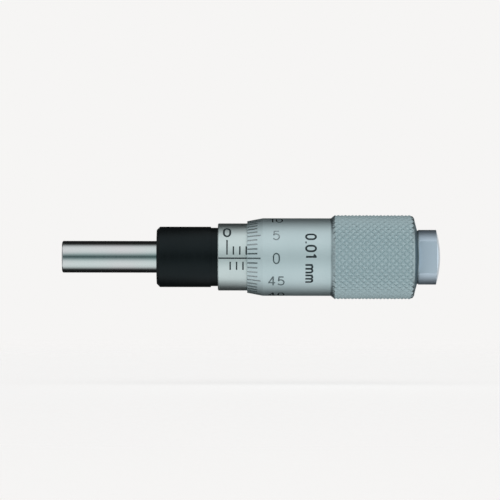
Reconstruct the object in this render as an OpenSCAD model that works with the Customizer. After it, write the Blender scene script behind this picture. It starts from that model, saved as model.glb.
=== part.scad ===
// Micrometer head with a plain clamping stem, a graduated sleeve and a knurled thimble.
// The axis lies along X. The sleeve's shoulder is at x = 0, the measuring face points to -X
// and the scale faces -Y. A profile is drawn as [radius, x] and turned about the axis.

/* [Reading and travel] */
// Reading that the head is drawn at
reading = 3; // [0:0.01:10]
// Length that the spindle can measure
travel = 13; // [10:1:25]
// Travel of the spindle for one turn of the thimble
pitch = 0.5; // [0.25:0.25:1]

/* [Stem] */
// Diameter of the clamping stem, and of the inner sleeve behind it
stem_d = 9.5; // [9:0.1:12]
// Length of the stem in front of the sleeve's shoulder
stem_l = 9.6; // [8.5:0.1:20]
// Chamfer on the front edge of the stem
stem_chamfer = 0.5; // [0.1:0.1:1]
// Width of the undercut beside the shoulder
undercut_w = 1.1; // [0.5:0.1:2]
// Depth of the undercut, on the radius
undercut_depth = 0.16; // [0.16:0.01:0.4]
// Length that the undercut runs on under the sleeve, so that the shoulder has no corner to foul
undercut_run = 0.3; // [0.1:0.1:0.6]
// Length of the bore that guides the spindle
guide_l = 8.1; // [5:0.1:9]

/* [Inner sleeve] */
// Step down from the inner sleeve to its slotted tail, on the radius
tail_step = 0.5; // [0.3:0.05:0.8]
// Loss of radius along the tail's clamping taper
tail_taper = 0.25; // [0.1:0.05:0.4]
// Length of the internal thread
nut_thread_l = 8; // [5:0.5:9]
// Width of the slots that let the threaded end close on the spindle
slot_w = 0.5; // [0.3:0.1:1]
// Number of slots
slot_count = 3; // [2:1:4]
// Length that the slots run on in front of the thread
slot_run = 1.5; // [0.5:0.1:3]

/* [Graduated sleeve] */
// Wall of the graduated sleeve
sleeve_wall = 0.52; // [0.4:0.01:1]
// Length of sleeve left under the thimble at full travel
sleeve_cover = 1.4; // [0.5:0.1:3]
// Chamfer on its end edges
sleeve_chamfer = 0.12; // [0.05:0.01:0.2]

/* [Scales] */
// Distance from the shoulder to the zero line
zero_x = 1.45; // [1:0.05:4]
// Distance from the zero line to the thimble's edge at zero reading
edge_lead = 0.15; // [0.12:0.01:0.3]
// Angle of the index line below the -Y direction
index_drop = 2; // [0:1:20]
// Width of the engraved lines
line_w = 0.22; // [0.1:0.01:0.26]
// Depth of the engraved lines
line_depth = 0.06; // [0.03:0.01:0.1]
// Space between the index line and the lines beside it
line_space = 0.45; // [0.3:0.05:0.8]
// Length of the millimetre and half-millimetre lines
mm_line_l = 1.45; // [1:0.05:2]
// Length of every fifth millimetre line
five_mm_line_l = 2.55; // [2:0.05:3]
// Number of divisions round the thimble
divisions = 50; // [25:25:100]
// Length of the thimble's lines
thimble_line_l = 1.6; // [1:0.05:1.9]
// Length of every fifth line of the thimble
five_line_l = 2.1; // [1.5:0.05:2.3]

/* [Adjusting nut] */
// Wall of the nut that takes up play in the thread
adjuster_wall = 0.68; // [0.5:0.02:0.8]
// Length of the nut
adjuster_l = 3.6; // [2.5:0.1:5]
// Width of the spanner slot across its rear face
spanner_slot_w = 1; // [0.6:0.1:1.5]
// Depth of the spanner slot
spanner_slot_depth = 0.8; // [0.4:0.1:1.2]

/* [Spindle] */
// Diameter of the ground spindle
spindle_d = 5; // [4.5:0.1:5.4]
// Length of spindle in front of the stem at zero reading
spindle_out = 17.85; // [15:0.05:30]
// Chamfer round the measuring face
tip_chamfer = 0.15; // [0.05:0.05:0.4]
// Height of the thread's pitch line over the spindle; the thread is drawn as a plain cylinder
thread_h = 0.35; // [0.2:0.05:0.5]
// Step down from the thread to the taper that carries the thimble, on the radius
taper_step = 0.2; // [0.1:0.05:0.4]
// Length of the taper
taper_l = 4.5; // [3:0.1:6]
// Loss of diameter for each millimetre along the taper
taper_rate = 0.1; // [0.05:0.01:0.15]

/* [Thimble] */
// Wall at the graduated edge
edge_wall = 0.25; // [0.2:0.01:0.4]
// Length of the graduated bevel
bevel_l = 2.45; // [2.4:0.05:4]
// Wall of the plain barrel
thimble_wall = 0.72; // [0.5:0.01:1.2]
// Length of the solid end behind the tapered bore
rear_l = 2.55; // [2:0.05:4]

/* [Knurled grip] */
// Height of the grip over the barrel
grip_h = 0.5; // [0.4:0.05:1]
// Length of the grip, from its front step to the thimble's rear face
grip_l = 13.5; // [9:0.1:16]
// Length of the sloping step in front of the grip
grip_step_l = 0.6; // [0.3:0.1:1.5]
// Radius of the rounded rear edge
grip_round = 0.8; // [0.4:0.1:1.2]
// Fall of the rear face towards the grip, along the axis
rear_slope_l = 0.4; // [0.1:0.1:0.8]
// Number of knurling grooves of each hand
knurl_count = 36; // [24:1:48]
// Angle of the grooves to the axis
knurl_angle = 46; // [30:1:50]
// Depth of the grooves
knurl_depth = 0.18; // [0.1:0.01:0.3]

/* [End cap] */
// Diameter of the end cap, the screw that clamps the thimble
cap_d = 8.6; // [7.6:0.05:9.6]
// Length of its cylinder
cap_l = 2.85; // [2:0.05:5]
// Height of its domed end
dome_h = 0.57; // [0.2:0.01:1]
// Distance across its two spanner flats
flats = 7; // [6:0.1:7.5]
// Depth of the round neck behind the thimble, on the radius
neck_depth = 0.1; // [0.05:0.01:0.8]
// Length of the neck
neck_l = 0.24; // [0.1:0.02:0.6]
// Diameter of its screw shank
shank_d = 2.9; // [2:0.1:3.3]
// Length of shank that enters the spindle
shank_grip_l = 4; // [2:0.1:5]

/* [Fits] */
// Radial gap between the spindle and its guide bore
guide_gap = 0.02; // [0.01:0.01:0.05]
// Radial gap in the spindle's thread and in the cap's thread
thread_gap = 0.05; // [0.02:0.01:0.1]
// Radial gap between the graduated sleeve and the inner sleeve
sleeve_gap = 0.01; // [0.01:0.01:0.03]
// Radial gap between the adjusting nut and its taper
adjuster_gap = 0.02; // [0.01:0.01:0.05]
// Radial gap between the thimble and the graduated sleeve
thimble_gap = 0.1; // [0.05:0.01:0.15]
// Radial gap between the tapers of the spindle and the thimble
taper_gap = 0.03; // [0.02:0.01:0.06]
// Gap along the axis between pieces that must not touch
end_gap = 0.3; // [0.2:0.1:0.6]
// Gap between the thimble's solid end and the inner sleeve at zero reading
zero_gap = 1; // [0.5:0.1:2]
// Extra radius of bores that only give clearance
bore_relief = 0.3; // [0.2:0.05:0.4]

/* [Hidden] */
$fn = 96;

// A cut runs past the surface that it opens by this much
over = 0.5;
// Half of the usual drill-point angle
drill_half_angle = 59;
// Lines of a scale that share one number
lines_per_number = 5;

// Radii from the inside out, each resting on the one before it
spindle_r = spindle_d / 2;
guide_bore_r = spindle_r + guide_gap;
thread_r = spindle_r + thread_h;
thread_bore_r = thread_r + thread_gap;
stem_r = stem_d / 2;
tail_r = stem_r - tail_step;
adjuster_r = tail_r + adjuster_gap + adjuster_wall;
sleeve_bore_r = stem_r + sleeve_gap;
sleeve_r = sleeve_bore_r + sleeve_wall;
thimble_bore_r = sleeve_r + thimble_gap;
edge_r = thimble_bore_r + edge_wall;
barrel_r = thimble_bore_r + thimble_wall;
grip_r = barrel_r + grip_h;
cap_r = cap_d / 2;
shank_r = shank_d / 2;
tapped_r = shank_r + thread_gap;

// Places along the axis that don't move
stem_x = -stem_l;
guide_end_x = stem_x + guide_l;
edge_at_zero = zero_x + edge_lead;
sleeve_l = edge_at_zero + travel + sleeve_cover;
adjuster_x = sleeve_l + end_gap;
adjuster_end_x = adjuster_x + adjuster_l;
tail_x = adjuster_end_x + end_gap;
thread_start_x = tail_x - nut_thread_l;

// Places along the axis that move with the reading
tip_x = stem_x - spindle_out + reading;
thread_x = guide_end_x + end_gap + reading;
edge_x = edge_at_zero + reading;
bevel_end_x = edge_x + bevel_l;
web_x = tail_x + zero_gap + reading;
thread_end_x = web_x - end_gap;
taper_end_x = web_x + taper_l;
rear_x = taper_end_x + rear_l;
grip_x = rear_x - grip_l;
cap_x = rear_x + neck_l;
cap_end_x = cap_x + cap_l;

// Turn of the thimble and the end cap past the last whole turn
part_turn = (reading / pitch) % 1 * 360;

// Steps of the knurl: half a groove spacing round the grip and along it
knurl_turn = 180 / knurl_count;
knurl_step = PI * grip_r / knurl_count / tan(knurl_angle);
knurl_around = 2 * knurl_count;

// Radius of the spindle's taper at a place along the axis
function taper_r(x) = thread_r - taper_step - taper_rate / 2 * (x - web_x);
// Length of a drill point of a given radius
function drill_point(r) = r / tan(drill_half_angle);
// Radius of the sphere whose cap has a given rim radius and height
function dome_r(rim, h) = (rim * rim + h * h) / (2 * h);
// Angle that a length along the surface of the graduated sleeve takes up
function sleeve_angle(length) = length / sleeve_r * 180 / PI;

// A knurl point i steps round and j steps along: grooves cross where i + j is even, peaks lie between
function knurl_r(i, j) = (i + j) % 2 == 0 ? grip_r - knurl_depth : grip_r;
function knurl_point(i, j) = [
    j * knurl_step,
    knurl_r(i, j) * cos(i * knurl_turn),
    knurl_r(i, j) * sin(i * knurl_turn)
];
// Place of that point in the list of points, which holds one row after another
function knurl_at(i, j) = j * knurl_around + (i + knurl_around) % knurl_around;

// Turns the [radius, x] profiles given as children about the X axis
module turned() {
    rotate([0, 90, 0])
        rotate_extrude()
            children();
}

// Profile of a plain bar from the axis out to a radius
module bar(r, x0, x1) {
    translate([0, x0])
        square([r, x1 - x0]);
}

// Profile of a ring between two radii
module ring(r0, r1, x0, x1) {
    translate([r0, x0])
        square([r1 - r0, x1 - x0]);
}

// Puts what is drawn over the +Z side at an angle above the -Y direction
module at_angle(a) {
    rotate([90 - a, 0, 0])
        children();
}

// A flat-sided cut from the axis out to the +Z side
module half_slot(x0, x1, width, reach) {
    translate([x0, -width / 2, 0])
        cube([x1 - x0, width, reach]);
}

// A bar with diamond knurling, at least as long as asked, from x = 0 towards +X
module knurled_bar(length) {
    rows = ceil(length / knurl_step);
    front = knurl_around * (rows + 1);
    rear = front + 1;
    points = [
        for (j = [0 : rows], i = [0 : knurl_around - 1]) knurl_point(i, j),
        [0, 0, 0],
        [rows * knurl_step, 0, 0]
    ];
    // Each peak has two triangles towards the row in front of it and two towards the row behind
    diamonds = [
        for (j = [0 : rows], i = [0 : knurl_around - 1], dj = [-1, 1], di = [-1, 1])
            if ((i + j) % 2 == 1 && j + dj >= 0 && j + dj <= rows)
                di * dj > 0
                    ? [knurl_at(i, j), knurl_at(i + di, j), knurl_at(i, j + dj)]
                    : [knurl_at(i, j), knurl_at(i, j + dj), knurl_at(i + di, j)]
    ];
    ends = [
        for (i = [0 : knurl_around - 1])
            each [
                [front, knurl_at(i, 0), knurl_at(i + 1, 0)],
                [rear, knurl_at(i + 1, rows), knurl_at(i, rows)]
            ]
    ];
    polyhedron(points, concat(diamonds, ends));
}

// The stem and the inner sleeve are turned as one piece, slotted at the threaded tail
module stem_body() {
    undercut_r = stem_r - undercut_depth;
    color("#1d2123")
        difference() {
            turned()
                polygon([
                    [0, stem_x], [stem_r - stem_chamfer, stem_x], [stem_r, stem_x + stem_chamfer],
                    [stem_r, -undercut_w], [undercut_r, -undercut_w],
                    [undercut_r, undercut_run], [stem_r, undercut_run], [stem_r, sleeve_l],
                    [tail_r, sleeve_l], [tail_r, adjuster_x], [tail_r - tail_taper, tail_x], [0, tail_x]
                ]);
            turned() {
                bar(guide_bore_r, stem_x - over, tail_x);
                bar(thread_bore_r, guide_end_x, tail_x + over);
                bar(thread_bore_r + bore_relief, guide_end_x, thread_start_x);
            }
            for (i = [0 : slot_count - 1])
                rotate([i * 360 / slot_count, 0, 0])
                    half_slot(thread_start_x - slot_run, tail_x + over, slot_w, stem_d);
        }
}

// Millimetre grooves of the sleeve from first to last, over a stretch of its surface.
// The stretch runs from a distance beside the index line, upwards if side is 1, downwards if it is -1.
module sleeve_lines(first, step, last, length, side) {
    middle = sleeve_angle(line_space + length / 2) * side - index_drop;
    chord = 2 * sleeve_r * sin(sleeve_angle(length) / 2);
    intersection() {
        turned()
            for (mm = [first : step : last])
                translate([0, zero_x + mm - line_w / 2])
                    ring(sleeve_r - line_depth, sleeve_r + over, 0, line_w);
        at_angle(middle)
            half_slot(0, sleeve_l, chord, sleeve_r + over);
    }
}

// The outer sleeve, which carries the millimetre scale and ends at the shoulder
module graduated_sleeve() {
    rim_r = sleeve_r - sleeve_chamfer;
    color("#b9c4c6")
        difference() {
            turned()
                polygon([
                    [sleeve_bore_r, 0], [rim_r, 0], [sleeve_r, sleeve_chamfer],
                    [sleeve_r, sleeve_l - sleeve_chamfer], [rim_r, sleeve_l], [sleeve_bore_r, sleeve_l]
                ]);
            sleeve_lines(0, 1, travel, mm_line_l, 1);
            sleeve_lines(0, lines_per_number, travel, five_mm_line_l, 1);
            sleeve_lines(0.5, 1, travel, mm_line_l, -1);
            at_angle(-index_drop)
                translate([0, 0, sleeve_r - line_depth])
                    half_slot(-over, zero_x + travel + line_space, line_w, over);
        }
}

// The nut that squeezes the slotted tail to take up play in the thread
module adjusting_nut() {
    slope = tail_taper / (tail_x - adjuster_x);
    front_r = tail_r + adjuster_gap;
    color("#9aa3a6")
        difference() {
            turned()
                polygon([
                    [front_r, adjuster_x], [adjuster_r, adjuster_x],
                    [adjuster_r, adjuster_end_x], [front_r - slope * adjuster_l, adjuster_end_x]
                ]);
            for (side = [0, 180])
                rotate([side, 0, 0])
                    half_slot(adjuster_end_x - spanner_slot_depth, adjuster_end_x + over,
                        spanner_slot_w, adjuster_r + over);
        }
}

// The ground spindle with its threaded length, its taper and the tapped hole for the end cap
module spindle() {
    hole_x = taper_end_x - shank_grip_l - end_gap;
    color("#c3cdcd")
        turned()
            difference() {
                polygon([
                    [0, tip_x], [spindle_r - tip_chamfer, tip_x], [spindle_r, tip_x + tip_chamfer],
                    [spindle_r, thread_x], [thread_r, thread_x + thread_h],
                    [thread_r, thread_end_x], [taper_r(thread_end_x), thread_end_x],
                    [taper_r(taper_end_x), taper_end_x], [0, taper_end_x]
                ]);
                bar(tapped_r, hole_x, taper_end_x + over);
                polygon([[0, hole_x - drill_point(tapped_r)], [tapped_r, hole_x], [0, hole_x]]);
            }
}

// One engraved line of the thimble, on the +Z side of the bevel
module thimble_line(length) {
    bevel_angle = atan((barrel_r - edge_r) / bevel_l);
    translate([edge_x, 0, edge_r])
        rotate([0, -bevel_angle, 0])
            translate([0, 0, -line_depth])
                half_slot(-over, length, line_w, over);
}

// Outline of the grip: the sloping step, room for the knurl, the rounded rear edge and the rear face
module grip_outline() {
    round_x = rear_x - rear_slope_l - grip_round;
    slope = grip_step_l / grip_h;
    // The sloping step is drawn from inside the barrel to outside the knurl
    polygon([
        [0, grip_x - over * slope], [barrel_r - over, grip_x - over * slope],
        [grip_r + over, grip_x + (grip_h + over) * slope], [grip_r + over, round_x], [grip_r, round_x],
        [grip_r - grip_round, round_x + grip_round], [cap_r, rear_x], [0, rear_x]
    ]);
    translate([grip_r - grip_round, round_x])
        circle(grip_round);
}

// The thimble: graduated bevel, plain barrel, knurled grip and a solid end with a tapered bore
module thimble() {
    relief_x = taper_end_x + end_gap;
    color("#aab6b8")
        rotate([part_turn, 0, 0])
            difference() {
                union() {
                    turned()
                        polygon([
                            [0, edge_x], [edge_r, edge_x], [barrel_r, bevel_end_x],
                            [barrel_r, taper_end_x], [0, taper_end_x]
                        ]);
                    intersection() {
                        translate([grip_x - over, 0, 0])
                            knurled_bar(grip_l + 2 * over);
                        turned()
                            grip_outline();
                    }
                }
                turned() {
                    bar(thimble_bore_r, edge_x - over, web_x);
                    polygon([
                        [0, web_x - over], [taper_r(web_x - over) + taper_gap, web_x - over],
                        [taper_r(relief_x) + taper_gap, relief_x], [0, relief_x]
                    ]);
                    bar(shank_r + bore_relief, taper_end_x, rear_x + over);
                }
                for (k = [0 : divisions - 1])
                    at_angle(k * 360 / divisions - index_drop)
                        thimble_line(k % lines_per_number == 0 ? five_line_l : thimble_line_l);
            }
}

// The end cap: a domed screw with two spanner flats that pulls the tapers together
module end_cap() {
    ball_r = dome_r(cap_r, dome_h);
    color("#a9b8c4")
        rotate([part_turn, 0, 0])
            difference() {
                turned() {
                    bar(shank_r, taper_end_x - shank_grip_l, cap_x + over);
                    bar(cap_r - neck_depth, rear_x, cap_x + over);
                    intersection() {
                        bar(cap_r, cap_x, cap_end_x + dome_h + over);
                        translate([0, cap_end_x + dome_h - ball_r])
                            circle(ball_r);
                    }
                }
                for (side = [0, 180])
                    rotate([side, 0, 0])
                        translate([cap_x, flats / 2, -cap_r])
                            cube([cap_l + dome_h + over, cap_d, cap_d]);
            }
}

stem_body();
graduated_sleeve();
adjusting_nut();
spindle();
thimble();
end_cap();
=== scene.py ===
"""Micrometer head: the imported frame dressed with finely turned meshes, filled scales and plated finishes.

The axis lies along X, the measuring face points to -X and the scale faces -Y. Lengths are in metres.
An angle round the axis is measured upwards from the -Y direction.
"""
import math

import bmesh
import bpy
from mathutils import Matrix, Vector


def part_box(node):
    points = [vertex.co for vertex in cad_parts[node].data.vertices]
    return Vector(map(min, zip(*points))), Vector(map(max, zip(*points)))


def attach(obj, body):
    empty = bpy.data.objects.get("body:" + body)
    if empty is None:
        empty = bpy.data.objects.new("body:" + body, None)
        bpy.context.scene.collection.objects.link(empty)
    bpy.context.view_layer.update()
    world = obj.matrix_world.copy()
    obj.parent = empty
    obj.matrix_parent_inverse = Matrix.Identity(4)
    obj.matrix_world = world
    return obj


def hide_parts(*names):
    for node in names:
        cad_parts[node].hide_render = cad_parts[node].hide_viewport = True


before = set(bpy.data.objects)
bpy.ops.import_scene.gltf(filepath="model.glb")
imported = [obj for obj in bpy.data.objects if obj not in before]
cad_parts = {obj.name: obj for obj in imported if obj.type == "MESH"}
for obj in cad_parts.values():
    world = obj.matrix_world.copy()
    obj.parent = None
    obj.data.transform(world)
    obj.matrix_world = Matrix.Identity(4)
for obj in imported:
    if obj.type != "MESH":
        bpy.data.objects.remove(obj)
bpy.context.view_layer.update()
scene = bpy.context.scene

MM = 0.001
DEG = math.pi / 180

# Sizes taken from the frame
TIP_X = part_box("spindle")[0][0]
THREAD_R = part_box("spindle")[1][2]
TAPER_END_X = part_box("spindle")[1][0]
STEM_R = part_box("stem_body")[1][2]
SLEEVE_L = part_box("graduated_sleeve")[1][0]
SLEEVE_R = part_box("graduated_sleeve")[1][2]
EDGE_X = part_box("thimble")[0][0]
REAR_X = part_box("thimble")[1][0]
GRIP_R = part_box("thimble")[1][2]
SHANK_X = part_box("end_cap")[0][0]
NECK_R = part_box("end_cap")[1][1]
CAP_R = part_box("end_cap")[1][2]

# Spindle
SPINDLE_R = 2.5 * MM
TIP_CHAMFER = 0.15 * MM
THREAD_X = 1.8 * MM
THREAD_END_X = 23.9 * MM
TAPER_X = 24.2 * MM
TAPER_R = 2.65 * MM
TAPER_SLOPE = 0.05
TAPPED_R = 1.5 * MM
TAPPED_X = 24.4 * MM
DRILL_HALF_ANGLE = 59 * DEG

# Graduated sleeve and its scale
SLEEVE_BORE_R = STEM_R + 0.01 * MM
SLEEVE_CHAMFER = 0.12 * MM
ZERO_X = 1.45 * MM
HALF_MM = 0.5 * MM
TRAVEL = 13 * MM
INDEX_ANGLE = -2 * DEG
LINE_W = 0.22 * MM
LINE_DEPTH = 0.06 * MM
LINE_SPACE = 0.45 * MM
MM_LINE_L = 1.45 * MM
FIVE_MM_LINE_L = 2.55 * MM

# Thimble and its scale
DIVISIONS = 50
LINES_PER_NUMBER = 5
THIMBLE_BORE_R = 5.38 * MM
EDGE_R = 5.63 * MM
BARREL_R = 6.1 * MM
BEVEL_L = 2.45 * MM
THIMBLE_LINE_L = 1.6 * MM
FIVE_LINE_L = 2.1 * MM
SCREW_HOLE_R = 1.75 * MM
TAPER_GAP = 0.03 * MM
RELIEF_X = TAPER_END_X + 0.3 * MM

# Knurled grip: a front step, a knurled cylinder and a rounded rear edge, on which the knurl runs out.
# A tooth's tip keeps a share of its foot. From a place on the rounded edge on, the finish is plain. The
# barrel stops a seam short of the step and is bridged to it.
GRIP_X = REAR_X - 13.5 * MM
GRIP_STEP_L = 0.6 * MM
GRIP_ROUND = 0.8 * MM
ROUND_X = REAR_X - 0.4 * MM - GRIP_ROUND
KNURL_COUNT = 36
KNURL_DEPTH = 0.26 * MM
KNURL_ANGLE = 46 * DEG
KNURL_STEP = math.pi * GRIP_R / KNURL_COUNT / math.tan(KNURL_ANGLE)
KNURL_TIP = 0.12
KNURL_START_X = GRIP_X - 0.5 * MM
KNURL_END = 55 * DEG
KNURL_END_X = ROUND_X + GRIP_ROUND * math.sin(KNURL_END)
PLAIN_X = ROUND_X + GRIP_ROUND * math.sin(15 * DEG)
SEAM = 0.12 * MM

# End cap. A face belongs to a flat when its normal's y is above a limit.
CAP_X = REAR_X + 0.24 * MM
CAP_END_X = CAP_X + 2.77 * MM
DOME_H = 0.65 * MM
DOME_STEP = 1.5 * DEG
FLAT_X = CAP_X - 0.01 * MM
FLAT_Y = 3.5 * MM
FLAT_NORMAL = 0.999
FACET_X = CAP_END_X + 0.06 * MM
CUTTER = 3 * CAP_R
SHANK_R = 1.45 * MM

# Lettering: height over all, width of the stroke, and its place. The step along a bow is in degrees.
NUMBER_H = 1.79 * MM
NUMBER_STROKE = 0.21 * MM
NUMBER_X = 9.15 * MM
SLEEVE_NUMBER_H = 2.05 * MM
SLEEVE_NUMBER_STROKE = 0.31 * MM
SLEEVE_NUMBER_ANGLE = 47 * DEG
UNIT_H = 1.85 * MM
UNIT_STROKE = 0.3 * MM
UNIT_X = 14.55 * MM
GLYPH_GAP = 0.5 * MM
INK_H = 0.024 * MM
INK_STEP = 0.12 * MM
BOW_STEP = 12

# Turned meshes: faces round the axis, a whole number for each division of the thimble, and broken edges,
# which take no more than a share of the sides beside them
SEGMENTS = DIVISIONS * 3
CELL = 2 * math.pi / SEGMENTS
EASE = 0.05 * MM
EASE_SHARE = 0.2
EASE_STEP = 15 * DEG
CORNER = 8 * DEG
SMOOTH = 30 * DEG
CAP_SMOOTH = 20 * DEG
ARC_STEP = 5 * DEG
# How near two points count as one, a point as on a cutting plane, and a point as on an end of the knurl
WELD = 0.001 * MM
ON_PLANE = 0.0005 * MM
ON_END = 0.0001 * MM

# Finishes: the sizes of their patterns. Real tool marks and plating grain are finer than a pixel, so they
# are drawn as coarse as they need to show. A mark is longer round the axis than it is wide.
STEEL_TINT = 9 * MM
STEEL_TINT_SHIFT = 7 * MM
CHROME_TINT = 6 * MM
OXIDE_TINT = 5 * MM
INK_PATCH = 0.5 * MM
DOME_HAZE = 0.4 * MM
DULL_GRAIN = 0.3 * MM
FINE_GRAIN = 0.16 * MM
OXIDE_MARK = 0.2 * MM
OXIDE_MARK_H = 0.002 * MM
TURNED_MARK = 0.1 * MM
TURNED_MARK_H = 0.004 * MM
MARK_STRETCH = 40
# The values that most of a noise lies between, how far it moves the roughness of satin chrome, and how a
# turned finish spreads its sheen: how strongly, and in which direction, as a share of a turn
NOISE_SPAN = (0.3, 0.7)
SATIN_SPREAD = 0.02
SHEEN = 0.6
SHEEN_TURN = 0.25
# Painted shade on the knurl and between the thimble and the cap: the radii between which a colour changes,
# how uneven they are, and the size of a patch
KNURL_SHADE_R = GRIP_R - 0.6 * KNURL_DEPTH
KNURL_SHADE_UNEVEN = 0.3 * MM
REAR_SHADE_R = NECK_R + 1.4 * MM
REAR_SHADE_END_R = NECK_R + 1.8 * MM
REAR_SHADE_UNEVEN = 0.1 * MM
SHADE_PATCH = 0.9 * MM
# Ink with painted light: the heights from the axis between which its colour goes from dark to light, as
# painted shade and highlight
LINE_PAINTED_LIGHT_SPAN = (0.6 * MM, 2.2 * MM)
NUMBER_PAINTED_LIGHT_SPAN = (-4 * MM, 0)

# Camera and floor
FIELD_W = 78.6 * MM
AIM = Vector((5.04, 0, 1.1)) * MM
ROLL = -0.085 * DEG
LENS = 300
SENSOR = 36
FLOOR_Z = -20 * MM
FLOOR_HALF = 0.4
FLOOR_SOLID = 0.05
FLOOR_GONE = 0.35
FLOOR_MATT = (0.4, 0.4, 0.4, 1)
FLOOR_GLOW = 0.76
PALE = "#f6f5f4"
# Light tent. Its level changes with the angle round the axis from the camera's side, in degrees. Along
# the axis each dark part gives way to the bright wall between two values of a direction's x.
# The camera's hole in front is dim and slightly teal, a black flag stands behind with a strip of backdrop
# left free in it, and the wall beyond the spindle's tip is dimmer.
HOLE = ((0, 0.07), (5, 0.21), (10, 0.28), (15, 0.44), (20, 0.58), (27, 0.75), (35, 0.9), (50, 0.97))
HOLE_REACH = (0.2, 0.45)
HOLE_TEAL = 1.23
FLAG = ((60, 1.0), (75, 0.9), (85, 0.62), (95, 0.27), (103, 0.06), (112, 0.015), (180, 0.01))
FLAG_REACH = (0.7, 0.85)
BRIGHT_WALL = (1, 1, 1, 1)
BACKDROP = (0.74, 0.74, 0.74, 1)
BACKDROP_Y = (0.82, 0.9)
BACKDROP_Z = (0.25, 0.15)
TIP_WALL = (0.3, 0.3, 0.3, 1)
TIP_WALL_X = (-0.7, -0.95)
# Sockets of a Mix node that holds colours: the two that go in and the one that comes out
MIX_A = 6
MIX_B = 7
MIX_OUT = 2
# Panels above and below the sleeve and the thimble, just out of the picture
PANEL = Vector((16, 1, 45)) * MM
PANEL_L = 40 * MM
PANEL_W = 34 * MM
PANEL_LEVEL = 0.45


def linear(hex_colour):
    """Linear RGBA of an sRGB hex colour."""
    channels = [int(hex_colour[k:k + 2], 16) / 255 for k in (1, 3, 5)]
    return [c / 12.92 if c <= 0.04045 else ((c + 0.055) / 1.055) ** 2.4 for c in channels] + [1.0]


def add(tree, kind, inputs=None, **settings):
    """Adds a node, applies its settings, and links or sets its inputs.

    An input is linked to a socket, or to the first output of a node.
    """
    node = tree.nodes.new(kind)
    for name, value in settings.items():
        setattr(node, name, value)
    for socket, value in (inputs or {}).items():
        if isinstance(value, bpy.types.Node):
            value = value.outputs[0]
        if isinstance(value, bpy.types.NodeSocket):
            tree.links.new(value, node.inputs[socket])
        else:
            node.inputs[socket].default_value = value
    return node


# Materials

def finish(name, colour, metallic, roughness, specular=0.5):
    """Material with its plain values on the shader, ready for a pattern, with its tree and its shader."""
    material = bpy.data.materials.new(name)
    material.use_nodes = True
    material.diffuse_color = linear(colour)
    shader = material.node_tree.nodes["Principled BSDF"]
    shader.inputs["Base Color"].default_value = linear(colour)
    shader.inputs["Metallic"].default_value = metallic
    shader.inputs["Roughness"].default_value = roughness
    shader.inputs["Specular IOR Level"].default_value = specular
    return material, material.node_tree, shader


def pattern(tree, size, stretch=1.0, shift=0.0):
    """Noise of a real size, shifted along the axis, and stretched across it where a tool has turned."""
    place = add(tree, "ShaderNodeTexCoord")
    scaled = add(tree, "ShaderNodeMapping", {
        "Vector": place.outputs["Object"],
        "Location": (-shift / size, 0, 0),
        "Scale": (1 / size, 1 / (size * stretch), 1 / (size * stretch)),
    })
    return add(tree, "ShaderNodeTexNoise", {"Vector": scaled, "Scale": 1.0, "Detail": 2.0})


def vary(tree, factor, socket, low, high, span=NOISE_SPAN):
    """Moves a socket between two values, numbers or hex colours, as a factor goes through a span."""
    level = add(tree, "ShaderNodeMapRange", {"Value": factor, "From Min": span[0], "From Max": span[1]})
    if isinstance(low, str):
        ramp = add(tree, "ShaderNodeValToRGB", {"Fac": level})
        ramp.color_ramp.elements[0].color = linear(low)
        ramp.color_ramp.elements[1].color = linear(high)
        tree.links.new(ramp.outputs["Color"], socket)
    else:
        level.inputs["To Min"].default_value = low
        level.inputs["To Max"].default_value = high
        tree.links.new(level.outputs["Result"], socket)


def shade_by_radius(tree, socket, inner, outer, uneven, dark, light):
    """Colours a socket by the distance from the axis, between two radii that are uneven by a length: painted
    shade.
    """
    place = add(tree, "ShaderNodeTexCoord")
    across = add(tree, "ShaderNodeVectorMath", {0: place.outputs["Object"], 1: (0, 1, 1)},
                 operation="MULTIPLY")
    radius = add(tree, "ShaderNodeVectorMath", {0: across}, operation="LENGTH").outputs["Value"]
    patchy_radius = add(tree, "ShaderNodeMath", {0: pattern(tree, SHADE_PATCH), 1: uneven, 2: radius},
               operation="MULTIPLY_ADD")
    vary(tree, patchy_radius, socket, dark, light, span=(inner + uneven / 2, outer + uneven / 2))


def across_marks(tree, shader):
    """Spreads a turned finish's sheen along the axis, across the tool's marks."""
    around = add(tree, "ShaderNodeTangent", direction_type="RADIAL", axis="X")
    tree.links.new(around.outputs["Tangent"], shader.inputs["Tangent"])
    shader.inputs["Anisotropic"].default_value = SHEEN
    shader.inputs["Anisotropic Rotation"].default_value = SHEEN_TURN


def ground_steel():
    """Ground tool steel: a soft mirror with faint grinding marks and slow changes of tint."""
    material, tree, shader = finish("ground_steel", "#ccd6d5", 1.0, 0.14)
    tint = pattern(tree, STEEL_TINT, shift=STEEL_TINT_SHIFT)
    vary(tree, tint, shader.inputs["Base Color"], "#c4d4d2", "#d1cfd2")
    vary(tree, pattern(tree, FINE_GRAIN, MARK_STRETCH), shader.inputs["Roughness"], 0.11, 0.17)
    return material


def black_oxide():
    """Blackened steel: nearly black, with a weak broad gloss over fine turning marks."""
    material, tree, shader = finish("black_oxide", "#0c0f10", 0.0, 0.36, 0.2)
    shader.inputs["Specular Tint"].default_value = linear("#d8f6ff")
    vary(tree, pattern(tree, OXIDE_TINT), shader.inputs["Base Color"], "#0a0d0e", "#0e1213")
    marks = pattern(tree, OXIDE_MARK, MARK_STRETCH)
    vary(tree, marks, shader.inputs["Roughness"], 0.32, 0.4)
    bump = add(tree, "ShaderNodeBump", {"Height": marks, "Distance": OXIDE_MARK_H})
    tree.links.new(bump.outputs["Normal"], shader.inputs["Normal"])
    return material


def satin_chrome(name, light, dark, roughness):
    """Satin chrome plating: an even, fine-grained sheen with slow changes of tint."""
    material, tree, shader = finish(name, light, 1.0, roughness)
    vary(tree, pattern(tree, CHROME_TINT), shader.inputs["Base Color"], dark, light)
    vary(tree, pattern(tree, FINE_GRAIN), shader.inputs["Roughness"],
         roughness - SATIN_SPREAD, roughness + SATIN_SPREAD)
    across_marks(tree, shader)
    return material


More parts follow.
